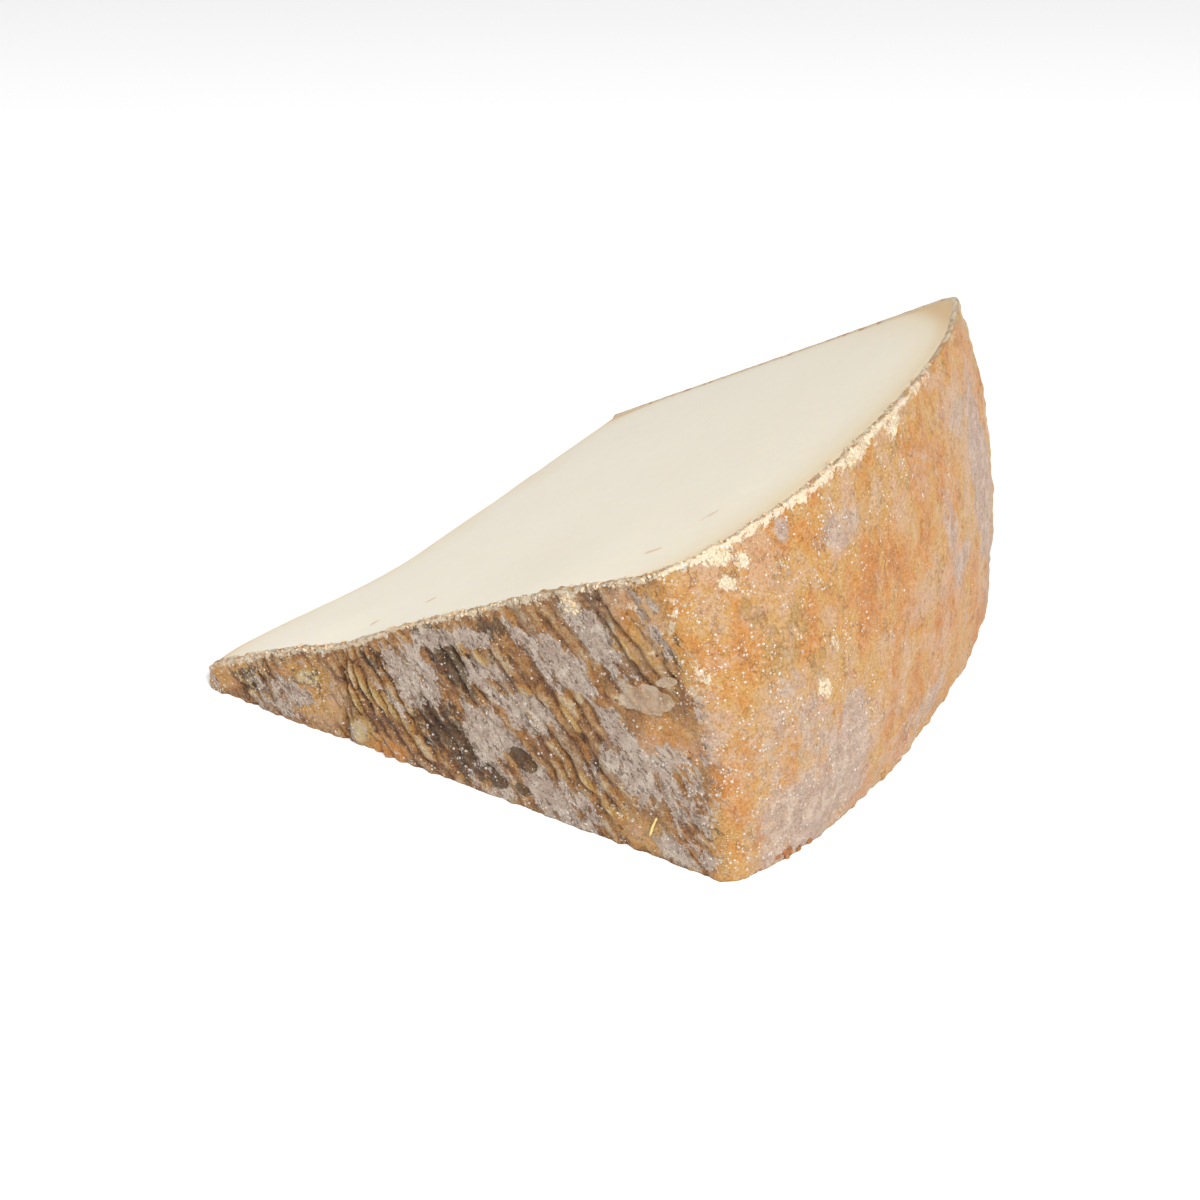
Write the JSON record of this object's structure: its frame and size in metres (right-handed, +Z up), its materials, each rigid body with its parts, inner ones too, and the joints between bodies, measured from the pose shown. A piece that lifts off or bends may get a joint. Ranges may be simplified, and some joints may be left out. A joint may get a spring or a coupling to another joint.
{
  "type": "cheese wedge",
  "caption": "Wedge cut from a rind-covered cheese wheel, lying on one cut face, with a bulging rind side, two flat rind faces and a blunt broken nose.",
  "frame": {"origin": "bottom centre of the wedge's box, on the surface that its lower cut face lies on", "axes": "+Z up; +X out from the wheel's axis to the bulging rind side; +Y along the wheel's axis, from the mat-marked flat rind face to the other flat rind face"},
  "size_m": [0.1074, 0.1048, 0.0571],
  "materials": {
    "paste": "satin",
    "rind": "matte"
  },
  "bodies": {
    "root": {"cheese_wedge": "paste"}
  },
  "joints": []
}
